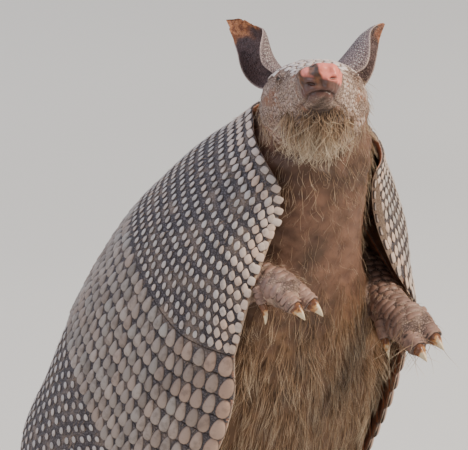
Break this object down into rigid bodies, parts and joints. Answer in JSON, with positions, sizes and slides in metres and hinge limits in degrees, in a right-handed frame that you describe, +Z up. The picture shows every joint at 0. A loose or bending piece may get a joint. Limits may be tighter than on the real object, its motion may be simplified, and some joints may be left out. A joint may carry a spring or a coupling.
{
  "type": "nine-banded armadillo",
  "caption": "Life-size still model of a nine-banded armadillo standing upright on its hind feet and tail, forepaws held at the chest, nose raised and turned to its right.",
  "frame": {"origin": "middle of the outline seen from above, at floor level", "axes": "+Z up, the animal faces -Y, its left side is +X, the tail runs back along +Y"},
  "size_m": [0.184, 0.4836, 0.3865],
  "materials": {
    "shield_plate": "dry horn-covered bone plates, dark ground with pale ovals",
    "band_plate": "dry horny scales, pale beige with dark seams",
    "tail_ring": "horny tail rings",
    "body_skin": "bare wrinkled skin with thin blond hair",
    "head_skin": "scaly skin",
    "ear_skin": "thin pebbled skin",
    "eye": "wet dark eye",
    "claw": "smooth horn"
  },
  "bodies": {
    "root": {"trunk": "body_skin", "pelvic_shield": "shield_plate", "band_9": "band_plate", "band_8": "band_plate", "band_7": "band_plate", "band_6": "band_plate", "band_5": "band_plate", "band_4": "band_plate", "band_3": "band_plate", "band_2": "band_plate", "band_1": "band_plate", "scapular_shield": "shield_plate", "lower_jaw": "head_skin", "eye_right": "eye", "eye_left": "eye", "ear_right": "ear_skin", "ear_left": "ear_skin", "head": "head_skin", "neck": "body_skin", "upper_arm_right": "body_skin", "forearm_right": "body_skin", "forefoot_right": "body_skin", "foreclaw_right_1": "claw", "foreclaw_right_2": "claw", "foreclaw_right_3": "claw", "foreclaw_right_4": "claw", "upper_arm_left": "body_skin", "forearm_left": "body_skin", "forefoot_left": "body_skin", "foreclaw_left_1": "claw", "foreclaw_left_2": "claw", "foreclaw_left_3": "claw", "foreclaw_left_4": "claw", "thigh_right": "body_skin", "shank_right": "body_skin", "hindfoot_right": "body_skin", "hindclaw_right_1": "claw", "hindclaw_right_2": "claw", "hindclaw_right_3": "claw", "hindclaw_right_4": "claw", "hindclaw_right_5": "claw", "thigh_left": "body_skin", "shank_left": "body_skin", "hindfoot_left": "body_skin", "hindclaw_left_1": "claw", "hindclaw_left_2": "claw", "hindclaw_left_3": "claw", "hindclaw_left_4": "claw", "hindclaw_left_5": "claw", "tail_base": "tail_ring", "tail_middle": "tail_ring", "tail_end": "tail_ring", "tail_tip": "tail_ring"}
  },
  "joints": []
}
